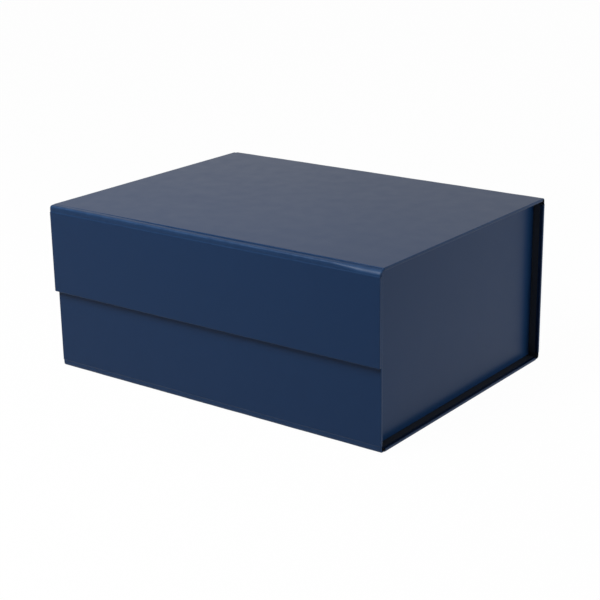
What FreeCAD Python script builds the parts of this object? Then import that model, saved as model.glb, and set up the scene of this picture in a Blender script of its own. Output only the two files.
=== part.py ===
import FreeCAD, Part
import os
from collections import namedtuple

# A folding board box: five boards in one paper-wrapped strip (flap, lid, back, base, front)
# and two side walls that stand on the base and fold in.
# Millimetres. X runs left to right, Y front to back, Z up.
# The origin is at the middle of the closed box's footprint, on the surface it stands on.

# ---- driving dimensions ----

case_width = 328.0         # base, front wall and back wall, left to right
case_depth = 246.0         # outside of the front wall to outside of the back wall
box_height = 143.0         # underside to the top of the closed lid
flap_height = 75.0         # top of the lid to the flap's lower edge
lid_overhang = 1.0         # lid and flap past the case, at each side
wall_inset = 8.5           # side wall's outer face behind the case's side edge

board_thickness = 2.0
cover_thickness = 0.2
liner_thickness = 0.2
board_edge_round = 0.3     # worn arris of the board under the paper
turn_in = 15.0             # cover paper folded on to the inner face
liner_margin = 3.0         # cover paper left showing round the lining

crease_size = 6.0          # from the outer corner of a fold to the edge of each board
groove_width = 0.7         # pressed line beside each board's edge
groove_depth = 0.65
crease_bulge = 1.5         # paper past the straight line between the two grooves

flap_gap = 0.8             # flap's lining in front of the front wall
running_gap = 0.3          # between pieces that move past each other
overcut = 1.0              # cutting blocks past the faces they open

magnet_diameter = 15.0
magnet_thickness = 1.8
pocket_clearance = 0.15    # round the magnet's rim
magnet_offset = 82.0       # magnet's centre from the middle of the box
magnet_rise = 20.0         # magnet's centre above the flap's lower edge

strip_width = 10.0         # each leg of the paper strip a side wall folds on
strip_thickness = 0.2
strip_end_gap = 5.0        # strip's end short of the side wall's end

tab_width = 20.0
tab_thickness = 0.4
tab_rise = 14.0            # tab's lower end above the side wall's foot
tab_drop = 6.0             # tab's upper end below the side wall's top
tab_gap = 0.15             # tab's root off the side wall's lining
tape_width = 10.0
tape_thickness = 0.15
tape_margin = 8.0          # tape's ends short of the tab's outer edge

# ---- sizes and places worked out from them ----

lid_width = case_width + 2 * lid_overhang
fold_thickness = cover_thickness + liner_thickness
board_inner = cover_thickness + board_thickness
turned_in = board_inner + cover_thickness
panel_thickness = turned_in + liner_thickness

flap_stand_off = panel_thickness + flap_gap
front_y = (flap_stand_off - case_depth) / 2
back_y = front_y + case_depth
flap_y = front_y - flap_stand_off
flap_foot = box_height - flap_height

wall_x = case_width / 2 - wall_inset
wall_inner_x = wall_x - panel_thickness
wall_foot = panel_thickness + running_gap
wall_top = box_height - panel_thickness - running_gap
wall_front_y = front_y + panel_thickness + running_gap
wall_back_y = back_y - panel_thickness - running_gap

tab_root_x = wall_inner_x - tab_gap

# A panel is drawn flat: u across it, v along the strip, n from its outer face inwards.
# free_edges names the edges that the cover is turned round: L, R, B (v = 0) and T.
Panel = namedtuple("Panel", "width length free_edges pockets")


def vector(x, y, z):
    return FreeCAD.Vector(x, y, z)


RIGHT = vector(1, 0, 0)
LEFT = vector(-1, 0, 0)
BACK = vector(0, 1, 0)
FRONT = vector(0, -1, 0)
UP = vector(0, 0, 1)
DOWN = vector(0, 0, -1)


def block(low, high):
    size = high - low
    return Part.makeBox(size.x, size.y, size.z, low)


def placed(shape, origin, u, v, n):
    """Stand a shape drawn in u, v, n at its place in the box."""
    turn = FreeCAD.Matrix(
        u.x, v.x, n.x, origin.x,
        u.y, v.y, n.y, origin.y,
        u.z, v.z, n.z, origin.z,
        0, 0, 0, 1)
    return shape.transformed(turn)


def field(panel, inset, past, n_low, n_high):
    """A flat slab of the panel, inset from its free edges and run past the folded ones."""
    edges = panel.free_edges
    left = -panel.width / 2 + (inset if "L" in edges else -past)
    right = panel.width / 2 - (inset if "R" in edges else -past)
    bottom = inset if "B" in edges else -past
    top = panel.length - (inset if "T" in edges else -past)
    return block(vector(left, bottom, n_low), vector(right, top, n_high))


def on_free_side(panel, bounds, point, tolerance=0.001):
    sides = {
        "L": point.x < bounds.XMin + tolerance,
        "R": point.x > bounds.XMax - tolerance,
        "B": point.y < bounds.YMin + tolerance,
        "T": point.y > bounds.YMax - tolerance}
    return any(sides[edge] for edge in panel.free_edges)


def eased(panel, shape, radius):
    """Round the long arrises of the panel's free edges; its folded corners stay sharp."""
    bounds = shape.BoundBox
    arrises = []
    for edge in shape.Edges:
        lies_flat = edge.BoundBox.ZLength < bounds.ZLength / 2
        if lies_flat and on_free_side(panel, bounds, edge.CenterOfMass):
            arrises.append(edge)
    return shape.makeFillet(radius, arrises)


def board(panel):
    """Greyboard with its arrises eased and the magnets' pockets cut through."""
    shape = field(panel, cover_thickness, 0, cover_thickness, board_inner)
    shape = eased(panel, shape, board_edge_round)
    for across, along in panel.pockets:
        radius = magnet_diameter / 2 + pocket_clearance
        centre = vector(across, along, 0)
        shape = shape.cut(Part.makeCylinder(radius, panel_thickness, centre))
    return shape


def cover(panel):
    """Cover paper: the outer face, round the free edges, and turned in on the inner face."""
    solid_board = panel._replace(pockets=())
    shape = field(panel, 0, 0, 0, turned_in)
    shape = eased(panel, shape, board_edge_round + cover_thickness)
    shape = shape.cut(board(solid_board))
    return shape.cut(field(panel, turn_in, overcut, board_inner, turned_in + overcut))


def liner(panel):
    """Lining sheet: flat on the board, and stepped up over the turned-in cover paper."""
    inner_face = turned_in + liner_thickness
    shape = field(panel, liner_margin, 0, board_inner, inner_face)
    turned = field(panel, liner_margin, 0, board_inner, turned_in)
    turned = turned.cut(field(panel, turn_in, overcut, board_inner, turned_in))
    sheet_face = board_inner + liner_thickness
    sunk = field(panel, turn_in + liner_thickness, overcut, sheet_face, inner_face + overcut)
    return shape.cut(turned).cut(sunk)


def crease(width, corner_y, corner_z, inward_y, inward_z):
    """Paper round a fold: a pressed groove beside each board and a rounded web between them."""
    groove_at = crease_size - groove_width
    swell = crease_bulge / 2 ** 0.5

    def point(along_y, along_z):
        return vector(-width / 2, corner_y + inward_y * along_y, corner_z + inward_z * along_z)

    def side(depth):
        bottom = groove_depth + depth
        crown = (groove_at + groove_depth) / 2 - swell + depth / 2 ** 0.5
        arc = Part.Arc(point(groove_at, bottom), point(crown, crown), point(bottom, groove_at))
        return [
            Part.LineSegment(point(crease_size, depth), point(groove_at, bottom)).toShape(),
            arc.toShape(),
            Part.LineSegment(point(bottom, groove_at), point(depth, crease_size)).toShape()]

    outer = side(0)
    inner = side(fold_thickness)
    ends = [
        Part.LineSegment(point(crease_size, 0), point(crease_size, fold_thickness)).toShape(),
        Part.LineSegment(point(0, crease_size), point(fold_thickness, crease_size)).toShape()]
    outline = Part.Wire(Part.__sortEdges__(outer + inner + ends))
    return Part.Face(outline).extrude(vector(width, 0, 0))


def wrapped_panel(name, panel, origin, u, v, n):
    """The three layers of one panel, as named nodes."""
    return {
        name + "_board": placed(board(panel), origin, u, v, n),
        name + "_cover": placed(cover(panel), origin, u, v, n),
        name + "_liner": placed(liner(panel), origin, u, v, n)}


def magnet_pockets(foot):
    """Pocket centres on a panel whose lower edge is at the height foot."""
    rise = flap_foot + magnet_rise - foot
    return ((-magnet_offset, rise), (magnet_offset, rise))


def case_panels():
    base = Panel(case_width, case_depth - 2 * crease_size, "LR", ())
    front = Panel(case_width, wall_top - crease_size, "LRT", magnet_pockets(crease_size))
    back = Panel(case_width, box_height - 2 * crease_size, "LR", ())
    nodes = wrapped_panel("base", base, vector(0, front_y + crease_size, 0), RIGHT, BACK, UP)
    nodes.update(wrapped_panel("front_wall", front, vector(0, front_y, crease_size), LEFT, UP, BACK))
    nodes.update(wrapped_panel("back_wall", back, vector(0, back_y, crease_size), RIGHT, UP, FRONT))
    nodes["front_crease"] = crease(case_width, front_y, 0, 1, 1)
    nodes["back_crease"] = crease(case_width, back_y, 0, -1, 1)
    return nodes


def lid_and_flap():
    lid = Panel(lid_width, back_y - flap_y - 2 * crease_size, "LR", ())
    flap = Panel(lid_width, flap_height - crease_size, "LRB", magnet_pockets(flap_foot))
    lid_origin = vector(0, flap_y + crease_size, box_height)
    nodes = wrapped_panel("lid", lid, lid_origin, LEFT, BACK, DOWN)
    nodes.update(wrapped_panel("flap", flap, vector(0, flap_y, flap_foot), LEFT, UP, BACK))
    nodes["lid_hinge"] = crease(case_width, back_y, box_height, -1, -1)
    nodes["flap_hinge"] = crease(lid_width, flap_y, box_height, 1, -1)
    return nodes


def magnets():
    """Discs in the flap and the front wall, each against the paper that faces the other."""
    height = flap_foot + magnet_rise
    flap_disc_y = flap_y + board_inner - magnet_thickness
    wall_disc_y = front_y + cover_thickness
    nodes = {}
    for side, across in (("left", -magnet_offset), ("right", magnet_offset)):
        for carrier, disc_y in (("flap", flap_disc_y), ("front_wall", wall_disc_y)):
            centre = vector(across, disc_y, height)
            disc = Part.makeCylinder(magnet_diameter / 2, magnet_thickness, centre, BACK)
            nodes[side + "_" + carrier + "_magnet"] = disc
    return nodes


def strip_leg(hand, low_x, high_x, low_z, high_z):
    """One flat leg of the paper strip along the foot of a side wall."""
    low_y = wall_front_y + strip_end_gap
    high_y = wall_back_y - strip_end_gap
    near_x, far_x = sorted((hand * low_x, hand * high_x))
    return block(vector(near_x, low_y, low_z), vector(far_x, high_y, high_z))


def fold_strip(side, hand):
    """The strip a side wall folds on: one leg glued to the base, one to the wall."""
    face = wall_inner_x
    base_top = panel_thickness
    foot = strip_leg(hand, face - strip_width, face, base_top, base_top + strip_thickness)
    leg = strip_leg(hand, face - strip_thickness, face, wall_foot, base_top + strip_width)
    return {side + "_strip_foot": foot, side + "_fold_strip": leg}


def side_wall(side, hand):
    panel = Panel(wall_back_y - wall_front_y, wall_top - wall_foot, "LRBT", ())
    origin = vector(hand * wall_x, (wall_front_y + wall_back_y) / 2, wall_foot)
    across = FRONT if hand > 0 else BACK
    inward = LEFT if hand > 0 else RIGHT
    nodes = wrapped_panel(side + "_wall", panel, origin, across, UP, inward)
    nodes.update(fold_strip(side, hand))
    return nodes


def corner_tab(hand, face_y, toward):
    """Paper tab with mitred ends, flat against the front or the back wall, and its tape."""
    low = wall_foot + tab_rise
    high = wall_top - tab_drop
    free_x = tab_root_x - tab_width
    outline = [
        (tab_root_x, low), (tab_root_x, high),
        (free_x, high - tab_width), (free_x, low + tab_width)]
    corners = [vector(hand * x, face_y, z) for x, z in outline]
    paper = Part.Face(Part.makePolygon(corners + corners[:1]))
    tab = paper.extrude(vector(0, -toward * tab_thickness, 0))
    tape_inner_x = tab_root_x - (tab_width - tape_width) / 2
    tape_low = low + tab_width + tape_margin
    tape_high = high - tab_width - tape_margin
    ends_x = sorted((hand * tape_inner_x, hand * (tape_inner_x - tape_width)))
    ends_y = sorted((face_y, face_y + toward * tape_thickness))
    tape = block(vector(ends_x[0], ends_y[0], tape_low), vector(ends_x[1], ends_y[1], tape_high))
    return tab, tape


def corner_tabs():
    nodes = {}
    ends = (("front", wall_front_y, -1), ("back", wall_back_y, 1))
    for side, hand in (("left", -1), ("right", 1)):
        for end, face_y, toward in ends:
            name = end + "_" + side + "_tab"
            nodes[name], nodes[name + "_tape"] = corner_tab(hand, face_y, toward)
    return nodes


def all_nodes():
    nodes = case_panels()
    nodes.update(lid_and_flap())
    nodes.update(magnets())
    nodes.update(side_wall("left", -1))
    nodes.update(side_wall("right", 1))
    nodes.update(corner_tabs())
    return nodes


os.makedirs("parts", exist_ok=True)
for node, shape in all_nodes().items():
    shape.exportStep("parts/" + node + ".step")
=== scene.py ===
import math
from collections import namedtuple

import bmesh
import bpy
from bpy.props import FloatProperty, FloatVectorProperty, PointerProperty
from mathutils import Matrix, Vector


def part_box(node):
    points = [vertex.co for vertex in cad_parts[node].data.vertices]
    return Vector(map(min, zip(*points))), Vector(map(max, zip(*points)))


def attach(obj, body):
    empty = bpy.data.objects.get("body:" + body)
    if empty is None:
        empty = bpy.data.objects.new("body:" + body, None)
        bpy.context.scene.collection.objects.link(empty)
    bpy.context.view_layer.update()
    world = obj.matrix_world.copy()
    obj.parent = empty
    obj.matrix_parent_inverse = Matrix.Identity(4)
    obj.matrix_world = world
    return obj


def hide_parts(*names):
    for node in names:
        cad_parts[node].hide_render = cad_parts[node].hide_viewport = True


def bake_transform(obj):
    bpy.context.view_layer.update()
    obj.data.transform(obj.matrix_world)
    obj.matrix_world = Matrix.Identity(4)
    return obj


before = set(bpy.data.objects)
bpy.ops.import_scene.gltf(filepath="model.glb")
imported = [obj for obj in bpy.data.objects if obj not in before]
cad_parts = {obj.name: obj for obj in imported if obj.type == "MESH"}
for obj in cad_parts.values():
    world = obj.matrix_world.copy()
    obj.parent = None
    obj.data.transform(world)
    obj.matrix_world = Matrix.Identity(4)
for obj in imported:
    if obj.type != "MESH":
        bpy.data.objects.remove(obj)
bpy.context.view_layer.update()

bl_info = {
    "name": "Archival Box",
    "version": (1, 0, 0),
    "blender": (4, 5, 0),
    "location": "View3D > Sidebar > Archival Box",
    "description": "Papers, linings, creases and tabs of a folding board box round its solids",
    "category": "Add Mesh",
}

MM = 0.001

RIGHT = Vector((1, 0, 0))
LEFT = Vector((-1, 0, 0))
BACK = Vector((0, 1, 0))
FRONT = Vector((0, -1, 0))
UP = Vector((0, 0, 1))
DOWN = Vector((0, 0, -1))

# A board with its papers. u runs across it, v along it, n from its outer face inwards, so that
# u x v = n. free names the edges that the cover paper is turned round: L, R, B (v = 0) and T.
Panel = namedtuple("Panel", "name body u v n free")
PANELS = (
    Panel("base", "case", RIGHT, BACK, UP, "LR"),
    Panel("front_wall", "case", LEFT, UP, BACK, "LRT"),
    Panel("back_wall", "case", RIGHT, UP, FRONT, "LR"),
    Panel("lid", "lid", LEFT, BACK, DOWN, "LR"),
    Panel("flap", "flap", LEFT, UP, BACK, "LRB"),
    Panel("left_wall", "left_wall", BACK, UP, RIGHT, "LRBT"),
    Panel("right_wall", "right_wall", FRONT, UP, LEFT, "LRBT"),
)

# The papers round a fold between two boards: the bodies that they join, the joint that bends
# them and the way into the box.
Fold = namedtuple("Fold", "node bodies joint into_y into_z")
FOLDS = (
    Fold("front_crease", ("case",), None, 1, 1),
    Fold("back_crease", ("case",), None, -1, 1),
    Fold("lid_hinge", ("case", "lid"), "lid_opening", -1, -1),
    Fold("flap_hinge", ("flap", "lid"), "flap_opening", 1, -1),
)

# One ring of a sheet: how far it is in from the panel's free edges, how deep behind the outer
# face, how far it sinks where two turn-ins meet, and how much of its film is rubbed.
Ring = namedtuple("Ring", "inset depth dip rim", defaults=(0.0, 0.0))

# A soft lamp: the setting with its power, where it stands, what it points at, its size, and
# whether the film mirrors it.
Lamp = namedtuple("Lamp", "name power place target width height mirrored")
LAMPS = (
    Lamp("key_lamp", "key_power", (-0.2, -0.7, 1.08), (0, 0, 0.05), 0.6, 0.6, True),
    Lamp("back_lamp", "back_power", (-1.6, 1.3, 0.75), (0, 0, 0.1), 1.2, 1.2, True),
    Lamp("side_panel", "side_power", (1.35, 0.85, 0.05), (0.16, 0, 0.07), 1.2, 0.09, False),
)

SIDES = (("left", -1), ("right", 1))
ENDS = (("front", -1), ("back", 1))

# pieces that each curve is drawn in
CORNER_STEPS = 4
SHOULDER_STEPS = 6
ROLL_STEPS = 22
ARC_STEPS = 5
FLOOR_STEPS = 64

SMOOTH_UNDER = 40  # degrees between faces that are still one curved surface
LEAST_ROUND = 0.15 * MM  # a wrapped corner's radius under its outer layer

# places along a fold, in millimetres from each of its ends; steps of the same length between
FOLD_END_PLACES = (0.0, 0.1, 0.25, 0.5, 0.9, 1.4, 2.2, 4.0)
FOLD_STEPS = 60
# the folded paper isn't quite straight along the box: waves 88 mm and 33 mm long, each as
# (radians a metre, where it starts)
FOLD_WAVES = ((71, 0.0), (193, 1.3))
FOLD_WAVE_HEIGHT = 0.03 * MM

SENSOR_WIDTH = 36.0
WHITE = (1, 1, 1, 1)


def linear(code):
    """An sRGB hex colour as the linear colour, with alpha, that the shaders take."""
    parts = [int(code[i:i + 2], 16) / 255 for i in (1, 3, 5)]
    parts = [c / 12.92 if c <= 0.04045 else ((c + 0.055) / 1.055) ** 2.4 for c in parts]
    return (*parts, 1.0)


def quarter_turn(steps):
    """Angles from nothing to a quarter turn."""
    return [math.pi / 2 * step / steps for step in range(steps + 1)]


def smooth_step(t):
    """0 before 0, 1 after 1, and an even S between."""
    t = min(max(t, 0.0), 1.0)
    return t * t * (3 - 2 * t)


def distance(name, description, millimetres):
    """A length that a user may change, given in millimetres."""
    return FloatProperty(
        name=name, description=description, default=millimetres * MM, min=0.0, precision=5,
        subtype="DISTANCE", unit="LENGTH")


def factor(name, description, default):
    """A share from 0 to 1 that a user may change."""
    return FloatProperty(
        name=name, description=description, default=default, min=0.0, max=1.0, subtype="FACTOR")


def colour(name, description, code):
    """A colour that a user may change, given as sRGB hex."""
    return FloatVectorProperty(
        name=name, description=description, default=linear(code), min=0.0, max=1.0, size=4,
        subtype="COLOR")


# ---- settings ----


class ArchivalBoxSizes(bpy.types.PropertyGroup):
    """Sizes of the papers that the solids' own boxes don't give."""

    edge_round: distance("Edge round", "Radius of the cover paper round a board's arris", 0.5)
    corner_round: distance("Corner round", "Radius of a wrapped corner, seen from above", 0.7)
    turn_in: distance("Turn-in", "Width of cover paper folded on to the inner face", 15.0)
    lining_margin: distance("Lining margin", "Cover paper left showing round the lining", 3.0)
    mitre_dip: distance("Mitre dip", "Depth of the line where two turn-ins meet", 0.1)
    shoulder: distance("Shoulder", "Paper rounded over the edge of the board that lies flat", 0.7)
    lid_groove: distance("Lid groove", "Depth of the groove between the lid and the flap", 0.95)
    groove_at_left: factor("Lid groove at the left", "Share of that depth at its left end", 0.1)
    groove_run: distance("Lid groove run", "Length over which that groove deepens", 200.0)
    other_groove: distance("Other grooves", "Depth of the groove along the other folds", 0.3)
    pressed_line: distance("Pressed line", "Depth of the line at the other board's edge", 0.3)
    roll: factor("Roll", "How far a fold's paper is pushed out into its corner", 0.96)
    roll_at_right: factor("Roll at the right", "The same at the flap's right end", 0.5)
    flat_end: distance("Flat end", "Length at the flap's right end with that flatter fold", 15.0)
    flat_run: distance("Flat end run", "Length over which it fills out again", 30.0)
    end_round: distance("Fold end round", "Radius at the ends of a paper fold", 0.8)
    tab_round: distance("Tab round", "Radius of a corner tab's cut corners", 2.0)


class ArchivalBoxColours(bpy.types.PropertyGroup):
    """Colours of the papers, the board and the metal."""

    navy: colour("Cover paper", "Printed navy under the film", "#112A4A")
    # paler navy: worn arrises, and painted highlight along the paper folds
    navy_worn_and_highlit: colour("Cover paper, rubbed", "Navy where the film is rubbed", "#263F60")
    # near-black in part as painted shade, to darken the recess strips beside the side walls
    lining: colour("Lining paper", "Dyed lining paper", "#0F1623")
    lining_light: colour("Lining fibres", "Paler fibres in the lining paper", "#1A2333")
    greyboard: colour("Greyboard", "Pulp board", "#77726A")
    greyboard_dark: colour("Greyboard specks", "Dark specks in the pulp", "#4F4B45")
    nickel: colour("Magnet plating", "Nickel plate", "#BEBEC2")
    release: colour("Tape release paper", "Siliconed paper on the tape", "#E6E5DF")


class ArchivalBoxStage(bpy.types.PropertyGroup):
    """Camera, floor and light."""

    lens: FloatProperty(
        name="Lens", description="Focal length on a 36 mm sensor, in millimetres", default=87.99)
    camera_place: FloatVectorProperty(
        name="Camera place", description="Where the camera stands",
        default=(0.7119, -0.9476, 0.4442), subtype="TRANSLATION", unit="LENGTH")
    camera_azimuth: FloatProperty(
        name="Azimuth", description="Camera's turn to the box's right",
        default=math.radians(36.887), subtype="ANGLE", unit="ROTATION")
    camera_elevation: FloatProperty(
        name="Elevation", description="Camera's tilt down from level",
        default=math.radians(18.109), subtype="ANGLE", unit="ROTATION")
    camera_roll: FloatProperty(
        name="Roll", description="Camera's turn about its own line of sight",
        default=math.radians(-0.848), subtype="ANGLE", unit="ROTATION")
    floor: colour("Floor", "Matt pale paint, before the white that the camera sees", "#D2D2D2")
    world_level: FloatProperty(
        name="Room light", description="Strength of the even light from all round", default=0.03)
    key_power: FloatProperty(
        name="Key lamp", description="Large soft lamp above the front", default=20.5, unit="POWER")
    side_power: FloatProperty(
        name="Side panel", description="Long low panel that lights the right side from behind",
        default=16.0, unit="POWER")
    back_power: FloatProperty(
        name="Back lamp", description="Soft lamp behind the left side, mirrored in the lid",
        default=0.25, unit="POWER")


class ArchivalBoxSettings(bpy.types.PropertyGroup):
    """All the settings, as the scene keeps them."""

    sizes: PointerProperty(type=ArchivalBoxSizes)
    colours: PointerProperty(type=ArchivalBoxColours)
    stage: PointerProperty(type=ArchivalBoxStage)


# ---- materials ----


def add_node(tree, kind, settings=(), links=()):
    """Add a node. settings holds its fields and unlinked inputs, links its linked inputs."""
    node = tree.nodes.new(kind)
    for key, value in dict(settings).items():
        if isinstance(key, str) and hasattr(node, key):
            setattr(node, key, value)
        else:
            node.inputs[key].default_value = value
    for key, socket in dict(links).items():
        tree.links.new(socket, node.inputs[key])
    return node


def new_material(name):
    """An empty node material and its tree."""
    material = bpy.data.materials.new(name)
    material.use_nodes = True
    material.node_tree.nodes.clear()
    return material, material.node_tree


def per_metre(millimetres):
    """Noise scale whose features are this many millimetres across."""
    return 1 / (millimetres * MM)


def laminated_navy_paper(colours):
    """Offset-printed art paper under a satin polypropylene film, pressed on between rollers.

    To the eye: deep even navy, a soft wide reflection that greys the top at a low angle, a very
    slight unevenness of the board showing in it, and paler navy where the arrises are rubbed. The
    same paler navy is painted highlight along the paper folds, strongest where they turn 45
    degrees.
    """
    material, tree = new_material("laminated_navy_paper_satin_film")
    place = add_node(tree, "ShaderNodeTexCoord").outputs["Object"]
    # paper fibres under the film are about 0.1 mm across; drawn at 0.9 mm so that they show
    grain = add_node(
        tree, "ShaderNodeTexNoise", {"Scale": per_metre(0.9), "Detail": 3.0}, {"Vector": place})
    # glue and board let the sheet rise and fall over a few centimetres
    swell = add_node(
        tree, "ShaderNodeTexNoise", {"Scale": per_metre(45.0), "Detail": 1.0}, {"Vector": place})
    # the film is a little hazier here and there, in patches of a centimetre or two
    haze = add_node(
        tree, "ShaderNodeTexNoise", {"Scale": per_metre(14.0), "Detail": 2.0}, {"Vector": place})
    # handling rubs the arrises in patches of some 6 mm; the same paler navy, broken into the same
    # patches, is painted highlight along the folds
    rim = add_node(tree, "ShaderNodeAttribute", {"attribute_name": "rim"})
    patches = add_node(
        tree, "ShaderNodeTexNoise", {"Scale": per_metre(6.0), "Detail": 4.0}, {"Vector": place})
    worn_and_highlit = add_node(
        tree, "ShaderNodeMath", {"operation": "MULTIPLY"},
        {0: rim.outputs["Fac"], 1: patches.outputs["Fac"]})
    worn_and_highlit_a_little = add_node(
        tree, "ShaderNodeMath", {"operation": "MULTIPLY", 1: 0.6}, {0: worn_and_highlit.outputs[0]})
    ink = add_node(
        tree, "ShaderNodeMix",
        {"data_type": "RGBA", 6: tuple(colours.navy), 7: tuple(colours.navy_worn_and_highlit)},
        {0: worn_and_highlit_a_little.outputs[0]})
    roughness = add_node(
        tree, "ShaderNodeMapRange", {"To Min": 0.27, "To Max": 0.35},
        {"Value": haze.outputs["Fac"]})
    uneven = add_node(
        tree, "ShaderNodeBump", {"Strength": 0.5, "Distance": 0.25 * MM},
        {"Height": swell.outputs["Fac"]})
    fine = add_node(
        tree, "ShaderNodeBump", {"Strength": 0.25, "Distance": 0.01 * MM},
        {"Height": grain.outputs["Fac"], "Normal": uneven.outputs["Normal"]})
    # polypropylene has 1.49; the film's faint mirror image is matched by 1.2
    shader = add_node(
        tree, "ShaderNodeBsdfPrincipled", {"IOR": 1.2},
        {"Base Color": ink.outputs[2], "Roughness": roughness.outputs["Result"],
         "Normal": fine.outputs["Normal"]})
    add_node(tree, "ShaderNodeOutputMaterial", links={"Surface": shader.outputs["BSDF"]})
    return material


def uncoated_lining_paper(colours):
    """Dyed wove paper with no coating, dried on felt.

    To the eye: a matt, nearly black navy, a little cloudy, with short fibres barely paler. The
    near-black is in part painted shade, darkening the recess strips beside the side walls.
    """
    material, tree = new_material("dyed_wove_paper_uncoated")
    place = add_node(tree, "ShaderNodeTexCoord").outputs["Object"]
    # the pulp's clouds are 3 to 6 mm across; its fibres are 1 to 2 mm long and lie in clumps
    # that show at 0.8 mm
    cloud = add_node(
        tree, "ShaderNodeTexNoise", {"Scale": per_metre(4.5), "Detail": 3.0}, {"Vector": place})
    fibre = add_node(
        tree, "ShaderNodeTexNoise",
        {"Scale": per_metre(0.8), "Detail": 5.0, "Roughness": 0.7}, {"Vector": place})
    pale = add_node(
        tree, "ShaderNodeMapRange", {"From Min": 0.42, "From Max": 0.75},
        {"Value": fibre.outputs["Fac"]})
    tint = add_node(
        tree, "ShaderNodeMix",
        {"data_type": "RGBA", 6: tuple(colours.lining), 7: tuple(colours.lining_light)},
        {0: pale.outputs["Result"]})
    roughness = add_node(
        tree, "ShaderNodeMapRange", {"To Min": 0.8, "To Max": 0.92},
        {"Value": cloud.outputs["Fac"]})
    felt = add_node(
        tree, "ShaderNodeBump", {"Strength": 0.5, "Distance": 0.04 * MM},
        {"Height": fibre.outputs["Fac"]})
    shader = add_node(
        tree, "ShaderNodeBsdfPrincipled", {"IOR": 1.45},
        {"Base Color": tint.outputs[2], "Roughness": roughness.outputs["Result"],
         "Normal": felt.outputs["Normal"]})
    add_node(tree, "ShaderNodeOutputMaterial", links={"Surface": shader.outputs["BSDF"]})
    return material


def pressed_greyboard(colours):
    """Recycled pulp board, pressed and left raw.

    To the eye: warm grey, dull, with dark specks of printed paper.
    """
    material, tree = new_material("greyboard_pressed_raw")
    place = add_node(tree, "ShaderNodeTexCoord").outputs["Object"]
    # the specks are scraps of up to about 1 mm
    speck = add_node(
        tree, "ShaderNodeTexNoise",
        {"Scale": per_metre(1.2), "Detail": 4.0, "Roughness": 0.7}, {"Vector": place})
    dark = add_node(
        tree, "ShaderNodeMapRange", {"From Min": 0.55, "From Max": 0.72},
        {"Value": speck.outputs["Fac"]})
    tint = add_node(
        tree, "ShaderNodeMix",
        {"data_type": "RGBA", 6: tuple(colours.greyboard), 7: tuple(colours.greyboard_dark)},
        {0: dark.outputs["Result"]})
    pulp = add_node(
        tree, "ShaderNodeBump", {"Strength": 0.6, "Distance": 0.06 * MM},
        {"Height": speck.outputs["Fac"]})
    shader = add_node(
        tree, "ShaderNodeBsdfPrincipled", {"IOR": 1.45, "Roughness": 0.9},
        {"Base Color": tint.outputs[2], "Normal": pulp.outputs["Normal"]})
    add_node(tree, "ShaderNodeOutputMaterial", links={"Surface": shader.outputs["BSDF"]})
    return material


def plated_nickel(colours):
    """Sintered magnet, barrel-plated with nickel.

    To the eye: a warm mirror, slightly clouded by tumbling.
    """
    material, tree = new_material("nickel_barrel_plated")
    place = add_node(tree, "ShaderNodeTexCoord").outputs["Object"]
    # the barrel leaves dull patches of 1 to 2 mm
    cloud = add_node(
        tree, "ShaderNodeTexNoise", {"Scale": per_metre(1.5), "Detail": 3.0}, {"Vector": place})
    roughness = add_node(
        tree, "ShaderNodeMapRange", {"To Min": 0.14, "To Max": 0.28},
        {"Value": cloud.outputs["Fac"]})
    shader = add_node(
        tree, "ShaderNodeBsdfPrincipled", {"Metallic": 1.0, "Base Color": tuple(colours.nickel)},
        {"Roughness": roughness.outputs["Result"]})
    add_node(tree, "ShaderNodeOutputMaterial", links={"Surface": shader.outputs["BSDF"]})
    return material


def siliconed_release_paper(colours):
    """Calendered paper with a silicone coat, on double-sided tape.

    To the eye: off-white with a waxy sheen.
    """
    material, tree = new_material("release_paper_siliconed")
    place = add_node(tree, "ShaderNodeTexCoord").outputs["Object"]
    # the coat is thicker and thinner over 2 to 3 mm
    cloud = add_node(
        tree, "ShaderNodeTexNoise", {"Scale": per_metre(2.5), "Detail": 3.0}, {"Vector": place})
    roughness = add_node(
        tree, "ShaderNodeMapRange", {"To Min": 0.32, "To Max": 0.45},
        {"Value": cloud.outputs["Fac"]})
    crinkle = add_node(
        tree, "ShaderNodeBump", {"Strength": 0.4, "Distance": 0.03 * MM},
        {"Height": cloud.outputs["Fac"]})
    shader = add_node(
        tree, "ShaderNodeBsdfPrincipled", {"IOR": 1.43, "Base Color": tuple(colours.release)},
        {"Roughness": roughness.outputs["Result"], "Normal": crinkle.outputs["Normal"]})
    add_node(tree, "ShaderNodeOutputMaterial", links={"Surface": shader.outputs["BSDF"]})
    return material


FINISHES = {
    "laminated_paper": laminated_navy_paper,
    "lining_paper": uncoated_lining_paper,
    "greyboard": pressed_greyboard,
    "magnet": plated_nickel,
    "tape": siliconed_release_paper,
}
made_finishes = {}


def finish_for(slot, colours):
    """The material of one of the record's slots, made the first time that it is asked for."""
    if slot not in made_finishes:
        made_finishes[slot] = FINISHES[slot](colours)
    return made_finishes[slot]


# ---- meshes ----


def from_mesh(name, bm):
    """A named object from a finished bmesh, smooth except at its real corners."""
    mesh = bpy.data.meshes.new(name)
    bm.to_mesh(mesh)
    bm.free()
    for polygon in mesh.polygons:
        polygon.use_smooth = True
    mesh.set_sharp_from_angle(angle=math.radians(SMOOTH_UNDER))
    piece = bpy.data.objects.new(name, mesh)
    bpy.context.scene.collection.objects.link(piece)
    return piece


def thicken(piece, thickness):
    """Give a sheet its thickness behind the face that shows, as real mesh."""
    solid = piece.modifiers.new("paper", "SOLIDIFY")
    solid.thickness = thickness
    solid.offset = -1.0
    solid.use_even_offset = True
    evaluated = piece.evaluated_get(bpy.context.evaluated_depsgraph_get())
    mesh = bpy.data.meshes.new_from_object(evaluated)
    old = piece.data
    piece.modifiers.clear()
    piece.data = mesh
    bpy.data.meshes.remove(old)
    mesh.name = piece.name
    mesh.set_sharp_from_angle(angle=math.radians(SMOOTH_UNDER))
    return piece


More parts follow.
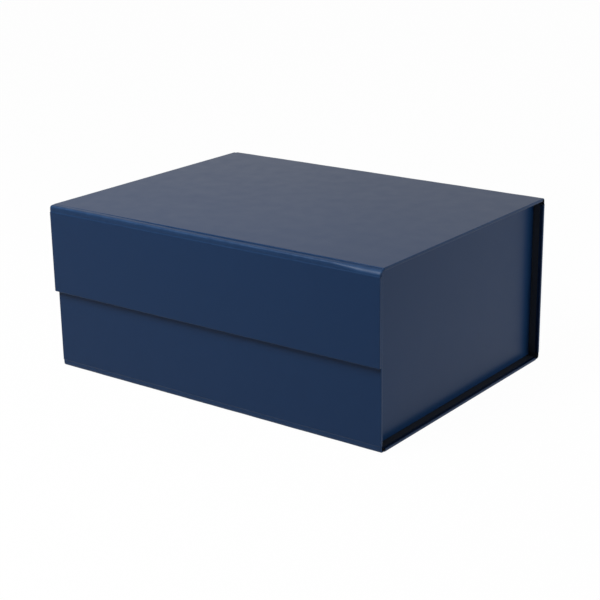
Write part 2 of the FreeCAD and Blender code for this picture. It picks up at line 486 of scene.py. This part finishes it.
def flat_sheet(name, outline, shown, thickness):
    """A flat sheet of paper with this outline. Its showing face looks the way of shown."""
    bm = bmesh.new()
    face = bm.faces.new([bm.verts.new(point) for point in outline])
    face.normal_update()
    if face.normal.dot(shown) < 0:
        face.normal_flip()
    return thicken(from_mesh(name, bm), thickness)


def dress(piece, slot, colours):
    """Give a piece the finish of one of the record's slots."""
    piece.data.materials.clear()
    piece.data.materials.append(finish_for(slot, colours))
    return piece


class Place:
    """Where a panel is, from the box of its cover paper."""

    def __init__(self, panel):
        low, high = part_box(panel.name + "_cover")
        size = high - low
        self.panel = panel
        self.width = abs(size.dot(panel.u))
        self.length = abs(size.dot(panel.v))
        self.depth = abs(size.dot(panel.n))
        self.origin = (low + high) / 2 - panel.v * self.length / 2 - panel.n * self.depth / 2

    def point(self, u, v, n):
        return self.origin + self.panel.u * u + self.panel.v * v + self.panel.n * n

    def ring(self, inset, corner_round):
        """Points once round the panel, each as (u, v, middle of a corner, free edge follows)."""
        free = self.panel.free
        left = -self.width / 2 + (inset if "L" in free else 0)
        right = self.width / 2 - (inset if "R" in free else 0)
        bottom = inset if "B" in free else 0
        top = self.length - (inset if "T" in free else 0)
        corners = ((left, bottom, "L", "B", 180), (right, bottom, "B", "R", 270),
                   (right, top, "R", "T", 0), (left, top, "T", "L", 90))
        points = []
        for u, v, before, after, start in corners:
            if before in free and after in free:
                middle_u = u + corner_round * (1 if u == left else -1)
                middle_v = v + corner_round * (1 if v == bottom else -1)
                for step in range(CORNER_STEPS + 1):
                    turn = math.radians(start + 90 * step / CORNER_STEPS)
                    last = step == CORNER_STEPS
                    points.append((middle_u + corner_round * math.cos(turn),
                                   middle_v + corner_round * math.sin(turn),
                                   step == CORNER_STEPS // 2, not last or after in free))
            else:
                points.append((u, v, False, after in free))
        return points


def ringed_sheet(name, place, profile, corner_round, faces_in):
    """A sheet laid on a panel, as the rings of its profile from the middle of the panel on."""
    bm = bmesh.new()
    wear_and_highlight_layer = bm.verts.layers.float.new("rim")
    rings = []
    for inset, depth, dip, rim in profile:
        verts = []
        for u, v, at_mitre, _ in place.ring(inset, max(corner_round - inset, LEAST_ROUND)):
            vert = bm.verts.new(place.point(u, v, depth - (dip if at_mitre else 0)))
            vert[wear_and_highlight_layer] = rim
            verts.append(vert)
        rings.append(verts)
    follows = [point[3] for point in place.ring(0, LEAST_ROUND)]
    bm.faces.new(rings[0] if faces_in else rings[0][::-1])
    count = len(follows)
    for near, far in zip(rings, rings[1:]):
        for j in range(count):
            if follows[j]:
                k = (j + 1) % count
                quad = (near[j], near[k], far[k], far[j])
                bm.faces.new(quad[::-1] if faces_in else quad)
    return from_mesh(name, bm)


def cover_profile(sizes, turned_in):
    """Outer face, round the arris, down the edge, round again and in on the inner face.

    The film is rubbed on the outer arris, and less beside it.
    """
    r = sizes.edge_round
    beside = r + 0.4 * MM
    rings = [Ring(beside, 0.0), Ring(r, 0.0, rim=0.3)]
    for turn in quarter_turn(ARC_STEPS)[1:]:
        rings.append(Ring(r - r * math.sin(turn), r - r * math.cos(turn), rim=1.0))
    for turn in quarter_turn(ARC_STEPS):
        rings.append(Ring(r - r * math.cos(turn), turned_in - r + r * math.sin(turn)))
    rings.append(Ring(beside, turned_in, sizes.mitre_dip))
    rings.append(Ring(sizes.turn_in, turned_in, sizes.mitre_dip))
    return rings


def lining_profile(sizes, turned_in, sheet):
    """Flat on the board, a soft step up over the turned-in paper, and flat to the cut edge."""
    low = turned_in
    high = turned_in + sheet
    half_step = 0.5 * MM
    edge = sizes.turn_in
    return [
        Ring(edge + 2 * half_step, low), Ring(edge + half_step, low),
        Ring(edge + 0.4 * half_step, low + 0.3 * sheet),
        Ring(edge - 0.4 * half_step, low + 0.8 * sheet),
        Ring(edge - half_step, high), Ring(sizes.lining_margin, high)]


def fold_profile(sizes, reach, groove, roll):
    """Outer line of a paper fold as (along the lying board, along the standing board).

    It goes over the shoulder of the lying board's edge, down into the groove, out into the corner
    as far as roll says, and over the pressed line on to the standing board.
    """
    line = []
    for turn in quarter_turn(SHOULDER_STEPS)[:-1]:
        line.append((reach - sizes.shoulder * math.sin(turn), groove * (1 - math.cos(turn))))
    start = Vector((reach - sizes.shoulder, groove))
    end = Vector((sizes.pressed_line, reach - 2 * sizes.pressed_line))
    corner = Vector((end.x, start.y))
    leave = start.lerp(corner, roll)
    arrive = end.lerp(corner, roll)
    # a cubic curve whose two handles reach for the corner
    for step in range(ROLL_STEPS + 1):
        t = step / ROLL_STEPS
        line.append(tuple(
            start * (1 - t) ** 3 + leave * 3 * t * (1 - t) ** 2
            + arrive * 3 * t * t * (1 - t) + end * t ** 3))
    # and out of the pressed line
    line.append((0.3 * sizes.pressed_line, reach - 0.8 * sizes.pressed_line))
    line.append((0.0, reach))
    return line


def fold_line(fold, sizes, reach, x, length):
    """A fold's outer line at a place along the box, x from the fold's left end."""
    if fold.joint != "flap_opening":
        return fold_profile(sizes, reach, sizes.other_groove, sizes.roll)
    # the lid's groove deepens from its left end on, and the fold is pulled flatter at the right
    left = sizes.groove_at_left
    groove = sizes.lid_groove * (left + (1 - left) * smooth_step(x / sizes.groove_run))
    pushed_out = smooth_step((length - x - sizes.flat_end) / sizes.flat_run)
    roll = sizes.roll_at_right + (sizes.roll - sizes.roll_at_right) * pushed_out
    return fold_profile(sizes, reach, groove, roll)


def fold_places(length):
    """Places along a fold, closer together at its ends, where the paper is rounded off."""
    at_left = [x * MM for x in FOLD_END_PLACES]
    between = length - 2 * at_left[-1]
    middle = [at_left[-1] + between * step / FOLD_STEPS for step in range(1, FOLD_STEPS)]
    return at_left + middle + [length - x for x in reversed(at_left)]


def inward_of(line, i):
    """The way into the paper at a point of a fold's outer line."""
    if i == 0:
        return Vector((0, 1))
    if i == len(line) - 1:
        return Vector((1, 0))
    before, after = line[i - 1], line[i + 1]
    along = Vector((after[0] - before[0], after[1] - before[1])).normalized()
    return Vector((along.y, -along.x))


def fold_sheet(fold, sizes, name, outer_depth, inner_depth):
    """One paper of a fold, between two depths behind its outer face.

    It is a grid of places along the box by points of the fold's outer line.
    """
    low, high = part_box(fold.node)
    reach = high.z - low.z
    length = high.x - low.x
    corner_y = high.y if fold.into_y < 0 else low.y
    corner_z = high.z if fold.into_z < 0 else low.z
    bm = bmesh.new()
    # the rim layer carries wear and, along the fold, a painted highlight
    wear_and_highlight_layer = bm.verts.layers.float.new("rim")
    outer, inner = [], []
    for x in fold_places(length):
        line = fold_line(fold, sizes, reach, x, length)
        wave = FOLD_WAVE_HEIGHT * sum(math.sin(x * pace + start) for pace, start in FOLD_WAVES)
        row, back_row = [], []
        for i, (a, b) in enumerate(line):
            inward = inward_of(line, i)
            # how far the paper is off both boards here, from 0 to 1
            loose = min(i / SHOULDER_STEPS, (len(line) - 1 - i) / 2, 1.0)
            radius = sizes.edge_round + (sizes.end_round - sizes.edge_round) * loose
            past_round = max(1 - min(x, length - x) / radius, 0.0)
            pulled = radius * (1 - math.sqrt(1 - past_round ** 2))
            sunk = min(pulled, 0.3 * reach) + wave * loose
            # painted highlight and wear: the folded paper is paler all along the fold, and palest
            # where its face turns 45 degrees, where the key lamp's highlight falls
            highlight_at_bend = max(2 * inward.x * inward.y, 0.0)
            worn_and_highlit = loose * (0.5 + 2.5 * highlight_at_bend ** 2)
            for verts, off in ((row, sunk + outer_depth), (back_row, sunk + inner_depth)):
                vert = bm.verts.new((
                    low.x + x,
                    corner_y + fold.into_y * (a + inward.x * off),
                    corner_z + fold.into_z * (b + inward.y * off)))
                vert[wear_and_highlight_layer] = worn_and_highlit
                verts.append(vert)
        outer.append(row)
        inner.append(back_row)
    closed = [row + back_row[::-1] for row, back_row in zip(outer, inner)]
    count = len(closed[0])
    for near, far in zip(closed, closed[1:]):
        for j in range(count):
            k = (j + 1) % count
            bm.faces.new((near[j], near[k], far[k], far[j]))
    for row, back_row in ((outer[0], inner[0]), (outer[-1], inner[-1])):
        for i in range(len(row) - 1):
            bm.faces.new((row[i], row[i + 1], back_row[i + 1], back_row[i]))
    bmesh.ops.recalc_face_normals(bm, faces=bm.faces)
    if bm.calc_volume(signed=True) < 0:
        bmesh.ops.reverse_faces(bm, faces=bm.faces)
    return from_mesh(name, bm)


# ---- operators ----


def settings(context):
    return context.scene.archival_box


def paper_sizes():
    """Thickness of the cover paper, depth of the turned-in paper and thickness of the lining."""
    cover_low, cover_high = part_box("lid_cover")
    board_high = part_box("lid_board")[1]
    liner_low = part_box("lid_liner")[0]
    return cover_high.z - board_high.z, cover_high.z - cover_low.z, cover_low.z - liner_low.z


class ARCHIVALBOX_OT_cover_papers(bpy.types.Operator):
    """Wrap each board in its cover paper, with turned-in edges and mitred corners"""

    bl_idname = "archival_box.cover_papers"
    bl_label = "Cover papers"

    def execute(self, context):
        choice = settings(context)
        cover, turned_in, _ = paper_sizes()
        profile = cover_profile(choice.sizes, turned_in)
        for panel in PANELS:
            piece = ringed_sheet(
                panel.name + "_cover_paper", Place(panel), profile, choice.sizes.corner_round,
                faces_in=False)
            thicken(piece, cover)
            dress(piece, "laminated_paper", choice.colours)
            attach(piece, panel.body)
            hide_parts(panel.name + "_cover")
        return {"FINISHED"}


class ARCHIVALBOX_OT_linings(bpy.types.Operator):
    """Lay the lining sheets on the inner faces, and turn them over the boards' bare edges"""

    bl_idname = "archival_box.linings"
    bl_label = "Linings"

    def execute(self, context):
        choice = settings(context)
        cover, turned_in, sheet = paper_sizes()
        profile = lining_profile(choice.sizes, turned_in, sheet)
        # the turned-down ends stop just under the cover paper
        depths = (1.25 * cover, turned_in + sheet)
        for panel in PANELS:
            place = Place(panel)
            half_width = place.width / 2 - choice.sizes.lining_margin
            for edge, v, past in (("B", 0.0, -sheet), ("T", place.length, sheet)):
                if edge not in panel.free:
                    bare = self.over_edge(
                        panel.name + "_lining_over_edge_" + edge, place, half_width,
                        (v, v + past), depths)
                    dress(bare, "lining_paper", choice.colours)
                    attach(bare, panel.body)
            piece = ringed_sheet(
                panel.name + "_lining_paper", place, profile, choice.sizes.corner_round,
                faces_in=True)
            thicken(piece, sheet)
            dress(piece, "lining_paper", choice.colours)
            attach(piece, panel.body)
            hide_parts(panel.name + "_liner")
        return {"FINISHED"}

    def over_edge(self, name, place, half_width, ends, depths):
        """The lining's end, turned down over the bare edge of a board at a fold."""
        bm = bmesh.new()
        (v0, v1), (n0, n1) = ends, depths
        section = ((v0, n0), (v1, n0), (v1, n1), (v0, n1))
        near, far = (
            [bm.verts.new(place.point(u, v, n)) for v, n in section]
            for u in (-half_width, half_width))
        bm.faces.new(near)
        bm.faces.new(far[::-1])
        for j in range(len(section)):
            k = (j + 1) % len(section)
            bm.faces.new((near[j], far[j], far[k], near[k]))
        bmesh.ops.recalc_face_normals(bm, faces=bm.faces)
        return from_mesh(name, bm)


class ARCHIVALBOX_OT_folds(bpy.types.Operator):
    """Roll the papers of the four folds; the two between moving bodies are left in place"""

    bl_idname = "archival_box.folds"
    bl_label = "Paper folds"

    def execute(self, context):
        choice = settings(context)
        cover, _, sheet = paper_sizes()
        for fold in FOLDS:
            outside = fold_sheet(fold, choice.sizes, fold.node + "_paper", 0.0, cover)
            dress(outside, "laminated_paper", choice.colours)
            inside = fold_sheet(
                fold, choice.sizes, fold.node + "_lining_paper", cover, cover + sheet)
            dress(inside, "lining_paper", choice.colours)
            self.hang(outside, fold)
            self.hang(inside, fold)
            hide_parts(fold.node)
        return {"FINISHED"}

    def hang(self, piece, fold):
        """Put a fold's paper on its body, or, where it joins two bodies, leave it in place with no
        parent.
        """
        if len(fold.bodies) == 1:
            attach(piece, fold.bodies[0])
            return
        # the paper turns in a narrow band where the hinge line runs
        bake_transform(piece)


class ARCHIVALBOX_OT_fold_strips(bpy.types.Operator):
    """Bend the paper strip along the foot of each side wall"""

    bl_idname = "archival_box.fold_strips"
    bl_label = "Fold strips"

    def execute(self, context):
        choice = settings(context)
        bend = 0.6 * MM
        for side, hand in SIDES:
            foot_low, foot_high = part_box(side + "_strip_foot")
            leg_low, leg_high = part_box(side + "_fold_strip")
            floor_z = foot_high.z
            thickness = foot_high.z - foot_low.z
            face = max(abs(leg_low.x), abs(leg_high.x)) - thickness
            near = min(abs(foot_low.x), abs(foot_high.x))
            line = [(near, floor_z), (near + (face - near) / 2, floor_z)]
            for turn in quarter_turn(ARC_STEPS):
                line.append((face - bend + bend * math.sin(turn),
                             floor_z + bend - bend * math.cos(turn)))
            line += [(face, (floor_z + leg_high.z) / 2), (face, leg_high.z)]
            bm = bmesh.new()
            front, back = (
                [bm.verts.new((hand * x, y, z)) for x, z in line]
                for y in (foot_low.y, foot_high.y))
            for i in range(len(line) - 1):
                quad = (front[i], back[i], back[i + 1], front[i + 1])
                bm.faces.new(quad if hand < 0 else quad[::-1])
            piece = thicken(from_mesh(side + "_fold_strip_paper", bm), thickness)
            dress(piece, "lining_paper", choice.colours)
            # the paper turns across its bend
            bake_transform(piece)
            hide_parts(side + "_strip_foot", side + "_fold_strip")
        return {"FINISHED"}


def rounded(points, radii):
    """A flat outline with its corners drawn as arcs; a radius of 0 keeps the corner."""
    drawn = []
    for i, (corner, radius) in enumerate(zip(points, radii)):
        if not radius:
            drawn.append(corner)
            continue
        back = (points[i - 1] - corner).normalized()
        on = (points[(i + 1) % len(points)] - corner).normalized()
        half = back.angle(on) / 2
        reach = radius / math.tan(half)
        middle = corner + (back + on).normalized() * (radius / math.sin(half))
        first = (corner + back * reach - middle).normalized()
        last = (corner + on * reach - middle).normalized()
        for step in range(CORNER_STEPS + 1):
            drawn.append(middle + first.slerp(last, step / CORNER_STEPS) * radius)
    return drawn


class ARCHIVALBOX_OT_corner_tabs(bpy.types.Operator):
    """Cut the corner tabs, with rounded corners, and the glued leg that each one folds from"""

    bl_idname = "archival_box.corner_tabs"
    bl_label = "Corner tabs"

    def execute(self, context):
        choice = settings(context)
        # the glued half of a tab: its width, its thickness and how far it is pressed in
        width, leaf, sunk = 9 * MM, 0.1 * MM, 0.04 * MM
        taper = 0.6 * width
        for side, hand in SIDES:
            for end, toward in ENDS:
                node = end + "_" + side + "_tab"
                low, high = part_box(node)
                root = hand * max(abs(low.x), abs(high.x))
                free = hand * min(abs(low.x), abs(high.x))
                slope = high.x - low.x
                shown_y = high.y if toward < 0 else low.y
                thickness = high.y - low.y
                outline = [
                    Vector((root, shown_y, low.z)), Vector((free, shown_y, low.z + slope)),
                    Vector((free, shown_y, high.z - slope)), Vector((root, shown_y, high.z))]
                edge = rounded(outline, (0, choice.sizes.tab_round, choice.sizes.tab_round, 0))
                piece = flat_sheet(node + "_paper", edge, -toward * BACK, thickness)
                dress(piece, "lining_paper", choice.colours)
                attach(piece, node)
                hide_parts(node)
                # the other half of the folded paper is glued to the side wall's lining
                face_x = root + hand * sunk
                last_y = shown_y - toward * width
                outline = [
                    Vector((face_x, shown_y, low.z)), Vector((face_x, last_y, low.z + taper)),
                    Vector((face_x, last_y, high.z - taper)), Vector((face_x, shown_y, high.z))]
                leg = flat_sheet(node + "_glued_leg", outline, -hand * RIGHT, leaf)
                dress(leg, "lining_paper", choice.colours)
                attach(leg, side + "_wall")
        return {"FINISHED"}


class ARCHIVALBOX_OT_solid_finishes(bpy.types.Operator):
    """Give the boards, the magnets and the tape, which keep their solids, their real surfaces"""

    bl_idname = "archival_box.solid_finishes"
    bl_label = "Board, magnets and tape"

    def execute(self, context):
        choice = settings(context)
        slots = {"board": "greyboard", "magnet": "magnet", "tape": "tape"}
        for name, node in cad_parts.items():
            slot = slots.get(name.rpartition("_")[2])
            if slot:
                for place in node.material_slots:
                    place.material = finish_for(slot, choice.colours)
        return {"FINISHED"}


def pale_when_seen(tree, shader, seen_share, mirrored_share):
    """Mix white of strength 1 over a shader, for what is seen directly and what is mirrored."""
    path = add_node(tree, "ShaderNodeLightPath")
    seen = add_node(
        tree, "ShaderNodeMath", {"operation": "MULTIPLY", 1: seen_share},
        {0: path.outputs["Is Camera Ray"]})
    either = add_node(
        tree, "ShaderNodeMath", {"operation": "MAXIMUM"},
        {0: path.outputs["Is Glossy Ray"], 1: path.outputs["Is Transmission Ray"]})
    mirrored = add_node(
        tree, "ShaderNodeMath", {"operation": "MULTIPLY", 1: mirrored_share},
        {0: either.outputs[0]})
    share = add_node(
        tree, "ShaderNodeMath", {"operation": "MAXIMUM"},
        {0: seen.outputs[0], 1: mirrored.outputs[0]})
    kind = "ShaderNodeBackground" if shader.node.type == "BACKGROUND" else "ShaderNodeEmission"
    white = add_node(tree, kind, {"Color": WHITE, "Strength": 1.0})
    return add_node(
        tree, "ShaderNodeMixShader", links={0: share.outputs[0], 1: shader, 2: white.outputs[0]})


class ARCHIVALBOX_OT_stage(bpy.types.Operator):
    """Set up the floor, the soft light and the camera"""

    bl_idname = "archival_box.stage"
    bl_label = "Stage"

    def execute(self, context):
        stage = settings(context).stage
        self.floor(stage)
        self.room(context, stage)
        for lamp in LAMPS:
            self.lamp(context, lamp, getattr(stage, lamp.power))
        self.camera(context, stage)
        context.scene.view_settings.view_transform = "Standard"
        return {"FINISHED"}

    def floor(self, stage):
        """A round matt floor, just clear of the box's foot."""
        radius = 8.0
        height = -0.05 * MM
        bm = bmesh.new()
        rim = []
        for step in range(FLOOR_STEPS):
            turn = 2 * math.pi * step / FLOOR_STEPS
            rim.append(bm.verts.new((radius * math.cos(turn), radius * math.sin(turn), height)))
        bm.faces.new(rim)
        floor = from_mesh("floor", bm)
        material, tree = new_material("painted_floor_matt")
        place = add_node(tree, "ShaderNodeTexCoord").outputs["Object"]
        # a paint roller's nap leaves dimples of about 3 mm
        roller = add_node(
            tree, "ShaderNodeTexNoise", {"Scale": per_metre(3.0)}, {"Vector": place})
        texture = add_node(
            tree, "ShaderNodeBump", {"Strength": 0.1, "Distance": 0.1 * MM},
            {"Height": roller.outputs["Fac"]})
        paint = add_node(
            tree, "ShaderNodeBsdfDiffuse", {"Color": tuple(stage.floor)},
            {"Normal": texture.outputs["Normal"]})
        # what is left of the paint's own shade keeps the box's shadow on the floor
        seen = pale_when_seen(tree, paint.outputs[0], seen_share=0.985, mirrored_share=0.95)
        add_node(tree, "ShaderNodeOutputMaterial", links={"Surface": seen.outputs[0]})
        floor.data.materials.append(material)

    def room(self, context, stage):
        """Even light from all round, white where it is seen."""
        world = bpy.data.worlds.new("pale_room")
        world.use_nodes = True
        tree = world.node_tree
        tree.nodes.clear()
        even = add_node(
            tree, "ShaderNodeBackground", {"Color": WHITE, "Strength": stage.world_level})
        mixed = pale_when_seen(tree, even.outputs[0], seen_share=1.0, mirrored_share=0.7)
        add_node(tree, "ShaderNodeOutputWorld", links={"Surface": mixed.outputs[0]})
        context.scene.world = world

    def lamp(self, context, lamp, power):
        data = bpy.data.lights.new(lamp.name, "AREA")
        data.energy = power
        data.shape = "RECTANGLE"
        data.size = lamp.width
        data.size_y = lamp.height
        placed = bpy.data.objects.new(lamp.name, data)
        placed.location = lamp.place
        aim = Vector(lamp.target) - Vector(lamp.place)
        placed.rotation_euler = aim.to_track_quat("-Z", "Y").to_euler()
        placed.visible_camera = False
        placed.visible_glossy = lamp.mirrored
        context.scene.collection.objects.link(placed)

    def camera(self, context, stage):
        data = bpy.data.cameras.new("camera")
        data.sensor_width = SENSOR_WIDTH
        data.lens = stage.lens
        camera = bpy.data.objects.new("camera", data)
        azimuth, elevation = stage.camera_azimuth, stage.camera_elevation
        level = math.cos(elevation)
        sight = Vector((
            -math.sin(azimuth) * level, math.cos(azimuth) * level, -math.sin(elevation)))
        turned = sight.to_track_quat("-Z", "Y").to_matrix().to_4x4()
        rolled = Matrix.Rotation(stage.camera_roll, 4, "Z")
        camera.matrix_world = Matrix.Translation(stage.camera_place) @ turned @ rolled
        context.scene.collection.objects.link(camera)
        context.scene.camera = camera


class ARCHIVALBOX_PT_sidebar(bpy.types.Panel):
    """Sidebar panel with the box's pieces and settings"""

    bl_label = "Archival Box"
    bl_idname = "ARCHIVALBOX_PT_sidebar"
    bl_space_type = "VIEW_3D"
    bl_region_type = "UI"
    bl_category = "Archival Box"

    def draw(self, context):
        choice = settings(context)
        for operator in OPERATORS:
            self.layout.operator(operator.bl_idname)
        for group in (choice.sizes, choice.colours, choice.stage):
            box = self.layout.box()
            for name in group.__annotations__:
                box.prop(group, name)


OPERATORS = (
    ARCHIVALBOX_OT_cover_papers,
    ARCHIVALBOX_OT_linings,
    ARCHIVALBOX_OT_folds,
    ARCHIVALBOX_OT_fold_strips,
    ARCHIVALBOX_OT_corner_tabs,
    ARCHIVALBOX_OT_solid_finishes,
    ARCHIVALBOX_OT_stage,
)
CLASSES = (
    ArchivalBoxSizes, ArchivalBoxColours, ArchivalBoxStage, ArchivalBoxSettings,
    *OPERATORS, ARCHIVALBOX_PT_sidebar)


def register():
    for cls in CLASSES:
        bpy.utils.register_class(cls)
    bpy.types.Scene.archival_box = PointerProperty(type=ArchivalBoxSettings)


def unregister():
    del bpy.types.Scene.archival_box
    for cls in reversed(CLASSES):
        bpy.utils.unregister_class(cls)


def main():
    register()
    bpy.ops.archival_box.cover_papers()
    bpy.ops.archival_box.linings()
    bpy.ops.archival_box.folds()
    bpy.ops.archival_box.fold_strips()
    bpy.ops.archival_box.corner_tabs()
    bpy.ops.archival_box.solid_finishes()
    bpy.ops.archival_box.stage()


if __name__ == "__main__":
    main()
